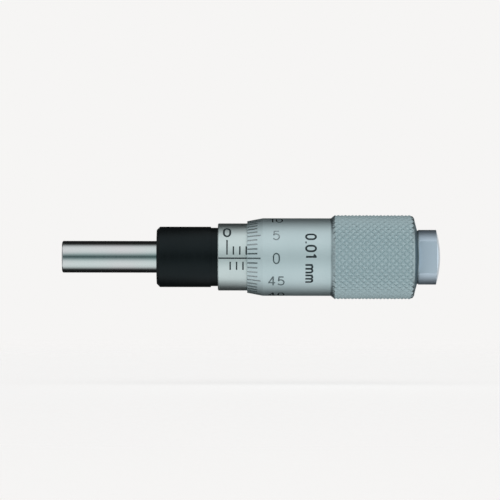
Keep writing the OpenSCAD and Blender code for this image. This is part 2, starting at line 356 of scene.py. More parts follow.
def knurled_chrome():
    """Dull chrome over rolled knurling, slightly lighter on the tips than in the grooves: painted highlight
    and painted shade.
    """
    material, tree, shader = finish("knurled_chrome", "#b5c8cc", 1.0, 0.65)
    # Painted shade in the grooves and painted highlight on the tips
    shade_by_radius(tree, shader.inputs["Base Color"], KNURL_SHADE_R, GRIP_R, KNURL_SHADE_UNEVEN, "#b5c8cc", "#b9ccd0")
    vary(tree, pattern(tree, DULL_GRAIN), shader.inputs["Roughness"], 0.62, 0.68)
    return material


def polished_chrome():
    """Bright chrome on the polished dome: a soft mirror with an uneven haze."""
    material, tree, shader = finish("polished_chrome", "#cbdbe7", 1.0, 0.22)
    vary(tree, pattern(tree, DOME_HAZE), shader.inputs["Roughness"], 0.2, 0.24)
    return material


def oiled_steel():
    """Unplated steel between the thimble and the cap: dull and darker than the plating, with painted shade
    between the parts that deepens towards the neck.
    """
    material, tree, shader = finish("oiled_steel", "#829298", 1.0, 0.45)
    # Painted shade, darkest towards the neck
    shade_by_radius(tree, shader.inputs["Base Color"], REAR_SHADE_R, REAR_SHADE_END_R, REAR_SHADE_UNEVEN, "#829298", "#9dafb3")
    shader.inputs["Specular Tint"].default_value = linear("#8a969a")
    vary(tree, pattern(tree, DULL_GRAIN), shader.inputs["Roughness"], 0.4, 0.5)
    return material


def turned_steel():
    """Plain turned steel, with the tool's marks round it."""
    material, tree, shader = finish("turned_steel", "#adb5b7", 1.0, 0.3)
    marks = pattern(tree, TURNED_MARK, MARK_STRETCH)
    vary(tree, marks, shader.inputs["Roughness"], 0.24, 0.36)
    bump = add(tree, "ShaderNodeBump", {"Height": marks, "Distance": TURNED_MARK_H})
    tree.links.new(bump.outputs["Normal"], shader.inputs["Normal"])
    return material


def dark_ink():
    """Matt filling paint in the engraving, slightly uneven."""
    material, tree, shader = finish("dark_ink", "#283437", 0.0, 0.6, 0.25)
    vary(tree, pattern(tree, INK_PATCH), shader.inputs["Base Color"], "#222d30", "#2f3c40")
    return material


def worn_ink(name, dark, light, fade, both_ways):
    """Engraving with only a film of paint left in it, so that the metal's sheen comes through.

    The colour goes from dark to light from one height to the next, or likewise above and below the axis:
    painted shade and painted highlight.
    """
    material, tree, shader = finish(name, dark, 1.0, 0.25)
    place = add(tree, "ShaderNodeTexCoord")
    height = add(tree, "ShaderNodeSeparateXYZ", {0: place.outputs["Object"]}).outputs["Z"]
    if both_ways:
        height = add(tree, "ShaderNodeMath", {0: height}, operation="ABSOLUTE")
    # Painted shade and highlight: the colour follows the height
    vary(tree, height, shader.inputs["Base Color"], dark, light, span=fade)
    return material


STEEL = ground_steel()
BLACK = black_oxide()
SLEEVE_CHROME = satin_chrome("satin_chrome_sleeve", "#cfdddd", "#c9d7d7", 0.46)
THIMBLE_CHROME = satin_chrome("satin_chrome_thimble", "#ccdde0", "#c6d8db", 0.58)
KNURL_CHROME = knurled_chrome()
# The grip's front step and rounded rear edge, darker than the barrel: painted shade
GRIP_EDGE_SHADED_CHROME = satin_chrome("satin_chrome_grip_edges_painted_shade", "#a9bbbf", "#a4b6ba", 0.46)
CAP_CHROME = satin_chrome("blue_chrome_cap", "#cbdbe7", "#c5d6e3", 0.56)
DOME_CHROME = polished_chrome()
# Steel between the thimble and the cap, with painted shade
REAR_SHADE_STEEL = oiled_steel()
TURNED = turned_steel()
DARK_INK = dark_ink()
# Lines painted darker near the index and lighter above and below it; numbers darker below and lighter above:
# painted shade and highlight
LINE_INK_PAINTED_LIGHT = worn_ink("ink_lines_painted_light", "#5a676a", "#98a2a5", LINE_PAINTED_LIGHT_SPAN, both_ways=True)
NUMBER_INK_PAINTED_LIGHT = worn_ink("ink_numbers_painted_light", "#576366", "#828d90", NUMBER_PAINTED_LIGHT_SPAN, both_ways=False)


# Turned meshes

def eased(profile, closed=True):
    """Profile with its corners broken, and points beside them that keep the flats flat in shading."""
    points = [Vector(point) for point in profile]
    result = []
    for k, here in enumerate(points):
        if not closed and k in (0, len(points) - 1):
            result.append(here)
            continue
        into = here - points[k - 1]
        out = points[(k + 1) % len(points)] - here
        turn = into.angle(out)
        if turn < CORNER or here.y == 0:
            result.append(here)
            continue
        reach = min(EASE * math.tan(turn / 2), EASE_SHARE * into.length, EASE_SHARE * out.length)
        start = here - into.normalized() * reach
        end = here + out.normalized() * reach
        steps = math.ceil(turn / EASE_STEP)
        result.append(start - into.normalized() * reach)
        result += [start.lerp(here, s / steps).lerp(here.lerp(end, s / steps), s / steps)
                   for s in range(steps + 1)]
        result.append(end + out.normalized() * reach)
    return result


def arc(centre, radius, start, end, step=ARC_STEP):
    """Points of a profile's arc, from one angle to another, measured from the radius towards +X."""
    steps = math.ceil(abs(end - start) / step)
    angles = [start + (end - start) * k / steps for k in range(steps + 1)]
    return [(centre[0] + radius * math.sin(a), centre[1] + radius * math.cos(a)) for a in angles]


def turned(name, profile, material, closed=True, marks=None):
    """Mesh of a profile of (x, radius) points turned about the axis.

    A face whose middle satisfies marks(x, radius, angle from the index) is noted for engraving.
    """
    rings, vertices = [], []
    for x, r in profile:
        count = SEGMENTS if r > 0 else 1
        rings.append([len(vertices) + i % count for i in range(SEGMENTS + 1)])
        for i in range(count):
            angle = INDEX_ANGLE + (i - 0.5) * CELL
            vertices.append((x, -r * math.cos(angle), r * math.sin(angle)))
    faces, engraved = [], []
    for k in range(len(rings) if closed else len(rings) - 1):
        (x, r), (next_x, next_r) = profile[k], profile[(k + 1) % len(profile)]
        ring, after = rings[k], rings[(k + 1) % len(rings)]
        for i in range(SEGMENTS):
            face = [ring[i], after[i], after[i + 1], ring[i + 1]]
            faces.append(list(dict.fromkeys(face)))
            angle = (i if i < SEGMENTS / 2 else i - SEGMENTS) * CELL
            engraved.append(bool(marks and marks((x + next_x) / 2, (r + next_r) / 2, angle)))
    mesh = bpy.data.meshes.new(name)
    mesh.from_pydata(vertices, [], faces)
    mesh.attributes.new("engraved", "BOOLEAN", "FACE").data.foreach_set("value", engraved)
    mesh.materials.append(material)
    return mesh


# Node trees

def node_tree(name, inputs):
    """Geometry Nodes tree with a mesh in, a mesh out and the named inputs, and the sockets of its inputs."""
    tree = bpy.data.node_groups.new(name, "GeometryNodeTree")
    tree.interface.new_socket("Mesh", in_out="INPUT", socket_type="NodeSocketGeometry")
    for label, kind in inputs.items():
        tree.interface.new_socket(label, in_out="INPUT", socket_type="NodeSocket" + kind)
    tree.interface.new_socket("Mesh", in_out="OUTPUT", socket_type="NodeSocketGeometry")
    return tree, add(tree, "NodeGroupInput").outputs


def grown(mesh, tree, values):
    """Plain mesh that a tree makes from a mesh, with its named inputs set."""
    carrier = bpy.data.objects.new("carrier", mesh)
    scene.collection.objects.link(carrier)
    modifier = carrier.modifiers.new("grow", "NODES")
    modifier.node_group = tree
    for item in tree.interface.items_tree:
        if item.in_out == "INPUT" and item.name in values:
            modifier[item.identifier] = values[item.name]
    result = bpy.data.meshes.new_from_object(carrier.evaluated_get(bpy.context.evaluated_depsgraph_get()))
    bpy.data.objects.remove(carrier)
    return result


def engraving_tree():
    """Sinks the faces that are noted for engraving and fills them with ink."""
    tree, given = node_tree("engraving", {"Depth": "Float", "Ink": "Material"})
    noted = add(tree, "GeometryNodeInputNamedAttribute", {"Name": "engraved"}, data_type="BOOLEAN")
    sunk = add(tree, "ShaderNodeMath", {0: given["Depth"], 1: -1.0}, operation="MULTIPLY")
    cut = add(tree, "GeometryNodeExtrudeMesh", {
        "Mesh": given["Mesh"], "Selection": noted, "Offset Scale": sunk, "Individual": False,
    }, mode="FACES")
    inside = add(tree, "FunctionNodeBooleanMath", {0: cut.outputs["Top"], 1: cut.outputs["Side"]},
                 operation="OR")
    real = add(tree, "GeometryNodeRealizeInstances", {"Geometry": cut})
    inked = add(tree, "GeometryNodeSetMaterial", {
        "Geometry": real, "Selection": inside, "Material": given["Ink"],
    })
    add(tree, "NodeGroupOutput", {"Mesh": inked})
    return tree


def lettering_tree():
    """Draws flat strokes as ribbons of ink and wraps them round a cylinder: x along it, y round it."""
    tree, given = node_tree("lettering", {
        "Radius": "Float", "Stroke": "Float", "Ink Height": "Float", "Step": "Float", "Ink": "Material",
    })
    lines = add(tree, "GeometryNodeMeshToCurve", {"Mesh": given["Mesh"]})
    even = add(tree, "GeometryNodeResampleCurve", {"Curve": lines, "Length": given["Step"]}, mode="LENGTH")
    level = add(tree, "GeometryNodeSetCurveNormal", {"Curve": even}, mode="Z_UP")
    section = add(tree, "GeometryNodeCurvePrimitiveQuadrilateral", {
        "Width": given["Stroke"], "Height": given["Ink Height"],
    }, mode="RECTANGLE")
    ribbon = add(tree, "GeometryNodeCurveToMesh", {
        "Curve": level, "Profile Curve": section, "Fill Caps": True,
    })
    flat = add(tree, "ShaderNodeSeparateXYZ", {0: add(tree, "GeometryNodeInputPosition")}).outputs
    radius = add(tree, "ShaderNodeMath", {0: given["Radius"], 1: flat["Z"]}, operation="ADD")
    outward = add(tree, "ShaderNodeMath", {0: radius, 1: -1.0}, operation="MULTIPLY")
    angle = add(tree, "ShaderNodeMath", {0: flat["Y"], 1: given["Radius"]}, operation="DIVIDE")
    turn = add(tree, "ShaderNodeMath", {0: angle, 1: -1.0}, operation="MULTIPLY")
    arm = add(tree, "ShaderNodeCombineXYZ", {"X": flat["X"], "Y": outward})
    place = add(tree, "ShaderNodeVectorRotate", {"Vector": arm, "Angle": turn}, rotation_type="X_AXIS")
    wrapped = add(tree, "GeometryNodeSetPosition", {"Geometry": ribbon, "Position": place})
    real = add(tree, "GeometryNodeRealizeInstances", {"Geometry": wrapped})
    inked = add(tree, "GeometryNodeSetMaterial", {"Geometry": real, "Material": given["Ink"]})
    add(tree, "NodeGroupOutput", {"Mesh": inked})
    return tree


def knurl_tree():
    """Rolls rows of four-sided teeth round the grip, over its front step and its rounded rear edge."""
    tree, given = node_tree("diamond_knurl", {
        "Count": "Int", "Rows": "Int", "Step": "Float", "Depth": "Float", "Tip": "Float", "Start": "Float",
        "Radius": "Float", "Front": "Float", "Front Radius": "Float", "Step End": "Float",
        "Round": "Float", "Round Start": "Float", "End": "Float", "Finish": "Material",
    })
    tooth = add(tree, "GeometryNodeMeshCone", {
        "Vertices": 4, "Side Segments": 1, "Radius Top": given["Tip"], "Radius Bottom": 1.0, "Depth": 1.0,
    }, fill_type="NGON")
    open_tooth = add(tree, "GeometryNodeDeleteGeometry", {
        "Geometry": tooth, "Selection": tooth.outputs["Bottom"],
    }, domain="FACE", mode="ONLY_FACE")
    fine_tooth = add(tree, "GeometryNodeSubdivideMesh", {"Mesh": open_tooth, "Level": 1})

    # Places of the teeth in half steps: every second row is shifted by one
    total = add(tree, "ShaderNodeMath", {0: given["Count"], 1: given["Rows"]}, operation="MULTIPLY")
    index = add(tree, "GeometryNodeInputIndex")
    rounds = add(tree, "ShaderNodeMath", {0: index, 1: given["Count"]}, operation="DIVIDE")
    row = add(tree, "ShaderNodeMath", {0: rounds}, operation="FLOOR")
    column = add(tree, "ShaderNodeMath", {0: index, 1: given["Count"]}, operation="MODULO")
    odd = add(tree, "ShaderNodeMath", {0: row, 1: 2.0}, operation="MODULO")
    around = add(tree, "ShaderNodeMath", {0: column, 1: 2.0, 2: 1.0}, operation="MULTIPLY_ADD")
    shifted = add(tree, "ShaderNodeMath", {0: around, 1: odd}, operation="SUBTRACT")
    spot = add(tree, "ShaderNodeCombineXYZ", {"X": row, "Y": shifted})
    spots = add(tree, "GeometryNodePoints", {"Count": total, "Position": spot})
    teeth = add(tree, "GeometryNodeInstanceOnPoints", {"Points": spots, "Instance": fine_tooth})
    flat = add(tree, "GeometryNodeRealizeInstances", {"Geometry": teeth})

    # Along the axis, kept between the front of the step and the end of the rounding
    place = add(tree, "ShaderNodeSeparateXYZ", {0: add(tree, "GeometryNodeInputPosition")}).outputs
    along = add(tree, "ShaderNodeMath", {0: place["X"], 1: given["Step"], 2: given["Start"]},
                operation="MULTIPLY_ADD")
    x = add(tree, "ShaderNodeClamp", {"Value": along, "Min": given["Front"], "Max": given["End"]})
    past_front = add(tree, "ShaderNodeMath", {0: along, 1: given["Front"]}, operation="SUBTRACT")
    from_end = add(tree, "ShaderNodeMath", {0: given["End"], 1: along}, operation="SUBTRACT")
    to_edge = add(tree, "ShaderNodeMath", {0: past_front, 1: from_end}, operation="MINIMUM")

    # Faces that lie wholly beyond an end are left out
    outside = add(tree, "FunctionNodeCompare", {"A": to_edge, "B": ON_END},
                  data_type="FLOAT", operation="LESS_THAN")
    corners = add(tree, "GeometryNodeFieldOnDomain", {"Value": outside}, data_type="BOOLEAN", domain="POINT")
    kept = add(tree, "GeometryNodeDeleteGeometry", {"Geometry": flat, "Selection": corners}, domain="FACE")

    # Radius of the front step and of the rounding, whichever is less
    step_r = add(tree, "ShaderNodeMapRange", {
        "Value": x, "From Min": given["Front"], "From Max": given["Step End"],
        "To Min": given["Front Radius"], "To Max": given["Radius"],
    })
    past_round = add(tree, "ShaderNodeMath", {0: x, 1: given["Round Start"]},
                     operation="SUBTRACT", use_clamp=True)
    sine = add(tree, "ShaderNodeMath", {0: past_round, 1: given["Round"]}, operation="DIVIDE")
    lean = add(tree, "ShaderNodeMath", {0: sine}, operation="ARCSINE")
    cosine = add(tree, "ShaderNodeMath", {0: lean}, operation="COSINE")
    fall = add(tree, "ShaderNodeMath", {0: cosine, 1: 1.0}, operation="SUBTRACT")
    round_r = add(tree, "ShaderNodeMath", {0: fall, 1: given["Round"], 2: given["Radius"]},
                  operation="MULTIPLY_ADD")
    blank_r = add(tree, "ShaderNodeMath", {0: step_r, 1: round_r}, operation="MINIMUM")

    # The diamonds, cut off by the blank's ends
    groove = add(tree, "ShaderNodeMath", {0: 1.0, 1: place["Z"]}, operation="SUBTRACT")
    sunk = add(tree, "ShaderNodeMath", {0: groove, 1: given["Depth"]}, operation="MULTIPLY")
    diamond_r = add(tree, "ShaderNodeMath", {0: given["Radius"], 1: sunk}, operation="SUBTRACT")
    least_r = add(tree, "ShaderNodeMath", {0: blank_r, 1: diamond_r}, operation="MINIMUM")

    # Rolled round the axis
    outward = add(tree, "ShaderNodeMath", {0: least_r, 1: -1.0}, operation="MULTIPLY")
    part = add(tree, "ShaderNodeMath", {0: place["Y"], 1: given["Count"]}, operation="DIVIDE")
    turn = add(tree, "ShaderNodeMath", {0: part, 1: -math.pi}, operation="MULTIPLY")
    arm = add(tree, "ShaderNodeCombineXYZ", {"X": x, "Y": outward})
    rolled = add(tree, "ShaderNodeVectorRotate", {"Vector": arm, "Angle": turn}, rotation_type="X_AXIS")
    wrapped = add(tree, "GeometryNodeSetPosition", {"Geometry": kept, "Position": rolled})
    whole = add(tree, "GeometryNodeMergeByDistance", {"Geometry": wrapped, "Distance": WELD})
    plated = add(tree, "GeometryNodeSetMaterial", {"Geometry": whole, "Material": given["Finish"]})
    add(tree, "NodeGroupOutput", {"Mesh": plated})
    return tree


def flats_tree():
    """Mills two parallel flats from a place along the axis on."""
    tree, given = node_tree("flats", {
        "Start": "Float", "Flat": "Float", "Cutter": "Float", "Finish": "Material",
    })
    half = add(tree, "ShaderNodeMath", {0: given["Cutter"], 1: 0.5}, operation="MULTIPLY")
    along = add(tree, "ShaderNodeMath", {0: given["Start"], 1: half}, operation="ADD")
    aside = add(tree, "ShaderNodeMath", {0: given["Flat"], 1: half}, operation="ADD")
    size = add(tree, "ShaderNodeCombineXYZ", {axis: given["Cutter"] for axis in "XYZ"})
    cutter = add(tree, "GeometryNodeMeshCube", {"Size": size})
    cutters = add(tree, "GeometryNodeJoinGeometry")
    for side in (-1.0, 1.0):
        offset = add(tree, "ShaderNodeMath", {0: aside, 1: side}, operation="MULTIPLY")
        place = add(tree, "ShaderNodeCombineXYZ", {"X": along, "Y": offset})
        set_out = add(tree, "GeometryNodeTransform", {"Geometry": cutter, "Translation": place})
        tree.links.new(set_out.outputs["Geometry"], cutters.inputs["Geometry"])
    milled = add(tree, "GeometryNodeMeshBoolean", {"Mesh 1": given["Mesh"], "Mesh 2": cutters},
                 operation="DIFFERENCE", solver="MANIFOLD")
    real = add(tree, "GeometryNodeRealizeInstances", {"Geometry": milled})
    plated = add(tree, "GeometryNodeSetMaterial", {"Geometry": real, "Material": given["Finish"]})
    add(tree, "NodeGroupOutput", {"Mesh": plated})
    return tree


ENGRAVING = engraving_tree()
FLATS = flats_tree()
LETTERING = lettering_tree()
KNURL = knurl_tree()


# Lettering: strokes as centre lines in a box one unit tall, and the width of each glyph

def bow(x, y, width, height, start, end):
    """Stroke along part of an ellipse, with angles in degrees from +x."""
    steps = math.ceil(abs(end - start) / BOW_STEP)
    angles = [(start + (end - start) * k / steps) * DEG for k in range(steps + 1)]
    return [(x + width * math.cos(a), y + height * math.sin(a)) for a in angles]


GLYPHS = {
    "0": (0.57, [bow(0.285, 0.63, 0.285, 0.37, 0, 180) + bow(0.285, 0.37, 0.285, 0.37, 180, 360)
                 + [(0.57, 0.63)]]),
    "1": (0.3, [[(0.24, 0), (0.24, 1.06)], [(0.24, 1), (0, 0.78)]]),
    "2": (0.56, [bow(0.28, 0.72, 0.28, 0.28, 170, -35) + [(0, 0.02)], [(-0.04, 0), (0.6, 0)]]),
    "3": (0.56, [bow(0.27, 0.75, 0.25, 0.25, 160, -90) + bow(0.27, 0.26, 0.29, 0.26, 80, -160)]),
    "4": (0.62, [[(0.45, 1.04), (0, 0.29)], [(-0.04, 0.29), (0.64, 0.29)], [(0.45, 1.06), (0.45, -0.06)]]),
    "5": (0.58, [[(0.06, 1), (0.54, 1)], [(0.1, 1.04), (0.04, 0.5)], bow(0.27, 0.33, 0.31, 0.33, 148, -150)]),
    ".": (0.06, [[(0.03, -0.06), (0.03, 0.06)]]),
    " ": (0.12, []),
    "m": (0.8, [[(0, -0.06), (0, 0.66)]] + [
        bow(side + 0.2, 0.42, 0.2, 0.22, 180, 0) + [(side + 0.4, -0.06)] for side in (0, 0.4)]),
}


def lettering(text, height, stroke):
    """Strokes of a line of text, centred on the origin, with (along, up) points."""
    scale = height - stroke
    strokes, at = [], 0.0
    for letter in text:
        width, lines = GLYPHS[letter]
        strokes += [[(at + x * scale, (y - 0.5) * scale) for x, y in line] for line in lines]
        at += width * scale + GLYPH_GAP
    middle = (at - GLYPH_GAP) / 2
    return [[(x - middle, y) for x, y in line] for line in strokes]


def written(strokes, radius, stroke, ink):
    """Ribbons of ink round a cylinder, from flat strokes with (along, round) points."""
    vertices, edges = [], []
    for line in strokes:
        first = len(vertices)
        closed = (Vector(line[0]) - Vector(line[-1])).length < WELD
        points = line[:-1] if closed else line
        vertices += [(x, y, 0) for x, y in points]
        edges += [(first + k, first + k + 1) for k in range(len(points) - 1)]
        edges += [(first + len(points) - 1, first)] if closed else []
    mesh = bpy.data.meshes.new("strokes")
    mesh.from_pydata(vertices, edges, [])
    return grown(mesh, LETTERING, {
        "Radius": radius, "Stroke": stroke, "Ink Height": INK_H, "Step": INK_STEP, "Ink": ink,
    })


# Pieces

def gathered(meshes, materials):
    """Edit mesh of several meshes, with each face's material numbered as in the list."""
    whole = bmesh.new()
    for mesh in meshes:
        numbers = [materials.index(material) if material else 0 for material in mesh.materials]
        first = len(whole.faces)
        whole.from_mesh(mesh)
        whole.faces.ensure_lookup_table()
        for face in whole.faces[first:]:
            face.material_index = numbers[face.material_index]
    return whole


def piece(name, whole, materials, body, node, smooth=SMOOTH):
    """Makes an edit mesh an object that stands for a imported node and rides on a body. Returns its mesh."""
    for face in whole.faces:
        face.smooth = True
    data = bpy.data.meshes.new(name)
    whole.to_mesh(data)
    whole.free()
    for material in materials:
        data.materials.append(material)
    data.set_sharp_from_angle(angle=smooth)
    made = bpy.data.objects.new(name, data)
    scene.collection.objects.link(made)
    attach(made, body)
    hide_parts(node)
    return data


def taper_r(x, gap=0.0):
    """Radius at a place along the spindle's rear taper, or along the bore that fits it with a gap."""
    return TAPER_R + gap - TAPER_SLOPE * (x - TAPER_X)


def spindle():
    """The ground spindle with its threaded length, its taper and its tapped hole."""
    profile = [
        (TIP_X, 0), (TIP_X, SPINDLE_R - TIP_CHAMFER), (TIP_X + TIP_CHAMFER, SPINDLE_R),
        (THREAD_X, SPINDLE_R), (THREAD_X + THREAD_R - SPINDLE_R, THREAD_R),
        (THREAD_END_X, THREAD_R), (THREAD_END_X, taper_r(THREAD_END_X)),
        (TAPER_END_X, taper_r(TAPER_END_X)), (TAPER_END_X, TAPPED_R), (TAPPED_X, TAPPED_R),
        (TAPPED_X - TAPPED_R / math.tan(DRILL_HALF_ANGLE), 0),
    ]
    mesh = turned("spindle_bar", eased(profile, closed=False), STEEL, closed=False)
    piece("spindle_ground", gathered([mesh], [STEEL]), [STEEL], "spindle", "spindle")


def sleeve_mark(x, r, angle):
    """Whether a face of the sleeve lies in an engraved line."""
    if r < SLEEVE_R - LINE_DEPTH or not SLEEVE_CHAMFER < x < ZERO_X + TRAVEL + LINE_SPACE:
        return False
    if abs(angle) < CELL / 2:
        return True
    line = round((x - ZERO_X) / HALF_MM)
    if line < 0 or abs(x - ZERO_X - line * HALF_MM) > LINE_W / 2:
        return False
    length = FIVE_MM_LINE_L if line % (2 * LINES_PER_NUMBER) == 0 else MM_LINE_L
    reach = angle * SLEEVE_R * (-1 if line % 2 else 1)
    return LINE_SPACE < reach < LINE_SPACE + length


def graduated_sleeve():
    """The graduated sleeve with its engraved millimetre scale and numbers."""
    rim_r = SLEEVE_R - SLEEVE_CHAMFER
    lines = [ZERO_X + k * HALF_MM for k in range(round(TRAVEL / HALF_MM) + 1)]
    edges = [(x + side * LINE_W / 2, SLEEVE_R) for x in lines for side in (-1, 1)]
    profile = [
        (0, SLEEVE_BORE_R), (0, rim_r), (SLEEVE_CHAMFER, SLEEVE_R), *edges,
        (SLEEVE_L - SLEEVE_CHAMFER, SLEEVE_R), (SLEEVE_L, rim_r), (SLEEVE_L, SLEEVE_BORE_R),
    ]
    plain = turned("sleeve_tube", eased(profile), SLEEVE_CHROME, marks=sleeve_mark)
    tube = grown(plain, ENGRAVING, {"Depth": LINE_DEPTH, "Ink": DARK_INK})
    strokes = []
    for number in range(0, round(TRAVEL / MM), LINES_PER_NUMBER):
        strokes += [[(ZERO_X + number * MM + x, SLEEVE_NUMBER_ANGLE * SLEEVE_R + y) for x, y in line]
                    for line in lettering(str(number), SLEEVE_NUMBER_H, SLEEVE_NUMBER_STROKE)]
    numbers = written(strokes, SLEEVE_R, SLEEVE_NUMBER_STROKE, DARK_INK)
    materials = [SLEEVE_CHROME, DARK_INK]
    piece("sleeve_graduated", gathered([tube, numbers], materials), materials,
          "sleeve", "graduated_sleeve")


def thimble_mark(x, r, angle):
    """Whether a face of the thimble lies in an engraved line of its bevel."""
    line, beside = divmod(round(angle / CELL), SEGMENTS // DIVISIONS)
    length = FIVE_LINE_L if line % LINES_PER_NUMBER == 0 else THIMBLE_LINE_L
    return r > EDGE_R and beside == 0 and EDGE_X + EASE < x < EDGE_X + length


def thimble_strokes():
    """Numbers of the thimble's scale."""
    strokes = []
    for line in range(0, DIVISIONS, LINES_PER_NUMBER):
        around = (INDEX_ANGLE + line * 2 * math.pi / DIVISIONS) * BARREL_R
        strokes += [[(NUMBER_X + x, around + y) for x, y in stroke]
                    for stroke in lettering(str(line), NUMBER_H, NUMBER_STROKE)]
    return strokes


def knurl_mesh():
    """The knurled band of the grip."""
    return grown(bpy.data.meshes.new("grip"), KNURL, {
        "Count": KNURL_COUNT, "Rows": math.ceil((KNURL_END_X - KNURL_START_X) / KNURL_STEP) + 2,
        "Step": KNURL_STEP, "Depth": KNURL_DEPTH, "Tip": KNURL_TIP, "Start": KNURL_START_X,
        "Radius": GRIP_R, "Front": GRIP_X, "Front Radius": BARREL_R, "Step End": GRIP_X + GRIP_STEP_L,
        "Round": GRIP_ROUND, "Round Start": ROUND_X, "End": KNURL_END_X, "Finish": KNURL_CHROME,
    })


def thimble():
    """The thimble: graduated bevel, plain barrel, knurled grip and a solid end with a tapered bore."""
    def bevel(length):
        return EDGE_X + length, EDGE_R + (BARREL_R - EDGE_R) * length / BEVEL_L
    rounding = arc((ROUND_X, GRIP_R - GRIP_ROUND), GRIP_ROUND, KNURL_END + ARC_STEP, math.pi / 2)
    profile = [
        *rounding, (REAR_X, CAP_R), (REAR_X, SCREW_HOLE_R), (RELIEF_X, SCREW_HOLE_R),
        (RELIEF_X, taper_r(RELIEF_X, TAPER_GAP)), (TAPER_X, taper_r(TAPER_X, TAPER_GAP)),
        (TAPER_X, THIMBLE_BORE_R), (EDGE_X, THIMBLE_BORE_R), (EDGE_X, EDGE_R),
        bevel(THIMBLE_LINE_L), bevel(FIVE_LINE_L), bevel(BEVEL_L), (GRIP_X - SEAM, BARREL_R),
    ]
    plain = turned("thimble_tube", eased(profile, closed=False), THIMBLE_CHROME,
                   closed=False, marks=thimble_mark)
    tube = grown(plain, ENGRAVING, {"Depth": LINE_DEPTH, "Ink": LINE_INK_PAINTED_LIGHT})
    unit = [[(UNIT_X + up, INDEX_ANGLE * BARREL_R - along) for along, up in line]
            for line in lettering("0.01 mm", UNIT_H, UNIT_STROKE)]
    materials = [THIMBLE_CHROME, LINE_INK_PAINTED_LIGHT, NUMBER_INK_PAINTED_LIGHT, DARK_INK, KNURL_CHROME, GRIP_EDGE_SHADED_CHROME, REAR_SHADE_STEEL]
    whole = gathered([
        tube, knurl_mesh(), written(thimble_strokes(), BARREL_R, NUMBER_STROKE, NUMBER_INK_PAINTED_LIGHT),
        written(unit, BARREL_R, UNIT_STROKE, DARK_INK),
    ], materials)
    middle = (GRIP_X + ROUND_X) / 2
    for front in (True, False):
        rims = [edge for edge in whole.edges if edge.is_boundary and (edge.verts[0].co.x < middle) == front]
        bmesh.ops.bridge_loops(whole, edges=rims)
    for face in whole.faces:
        x = face.calc_center_median().x
        # Beyond the knurl the rear takes the steel with painted shade
        if x > KNURL_END_X:
            face.material_index = materials.index(REAR_SHADE_STEEL)
        # The front step and the plain rounding take the darker chrome: painted shade
        elif x > PLAIN_X or GRIP_X - SEAM < x < GRIP_X + GRIP_STEP_L:
            face.material_index = materials.index(GRIP_EDGE_SHADED_CHROME)
    piece("thimble_knurled", whole, materials, "thimble", "thimble")


def end_cap():
    """The domed end cap with its screw shank, its two milled flats and a ground facet at the end of each."""
    ball_r = (CAP_R ** 2 + DOME_H ** 2) / (2 * DOME_H)
    rim_angle = math.acos(CAP_R / ball_r)
    dome = arc((CAP_END_X + DOME_H - ball_r, 0), ball_r, rim_angle, math.pi / 2, DOME_STEP)
    profile = [
        (SHANK_X, 0), (SHANK_X, SHANK_R), (REAR_X, SHANK_R), (REAR_X, NECK_R), (CAP_X, NECK_R),
        (CAP_X, CAP_R), *dome[:-1], (CAP_END_X + DOME_H, 0),
    ]
    plain = turned("cap_round", eased(profile, closed=False), CAP_CHROME, closed=False)
    milled = grown(plain, FLATS, {"Start": FLAT_X, "Flat": FLAT_Y, "Cutter": CUTTER, "Finish": CAP_CHROME})
    materials = [CAP_CHROME, DOME_CHROME, REAR_SHADE_STEEL]
    whole = gathered([milled], materials)
    flats = [face for face in whole.faces
             if abs(face.normal.y) > FLAT_NORMAL and face.calc_center_median().x > CAP_X]
    bmesh.ops.dissolve_faces(whole, faces=flats)
    for side in (-1, 1):
        cut = bmesh.ops.bisect_plane(
            whole, geom=[*whole.verts, *whole.edges, *whole.faces], dist=ON_PLANE,
            plane_co=(FACET_X, side * FLAT_Y, 0), plane_no=(1, side, 0), clear_outer=True)
        rim = [item for item in cut["geom_cut"] if isinstance(item, bmesh.types.BMEdge)]
        bmesh.ops.holes_fill(whole, edges=rim)
    bmesh.ops.recalc_face_normals(whole, faces=whole.faces)
    for face in whole.faces:
        middle = face.calc_center_median()
        # The neck and shank take the steel with painted shade
        if middle.x < CAP_X - EASE:
            face.material_index = materials.index(REAR_SHADE_STEEL)
        elif middle.x > CAP_END_X and abs(face.normal.y) < FLAT_NORMAL:
            face.material_index = materials.index(DOME_CHROME)
    data = piece("cap_domed", whole, materials, "thimble", "end_cap", smooth=CAP_SMOOTH)
    for face in data.polygons:
        face.use_smooth = abs(face.normal.y) < FLAT_NORMAL


spindle()
graduated_sleeve()
thimble()
end_cap()
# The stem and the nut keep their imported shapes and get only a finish
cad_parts["stem_body"].material_slots[0].material = BLACK
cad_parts["adjusting_nut"].material_slots[0].material = TURNED


# Stage

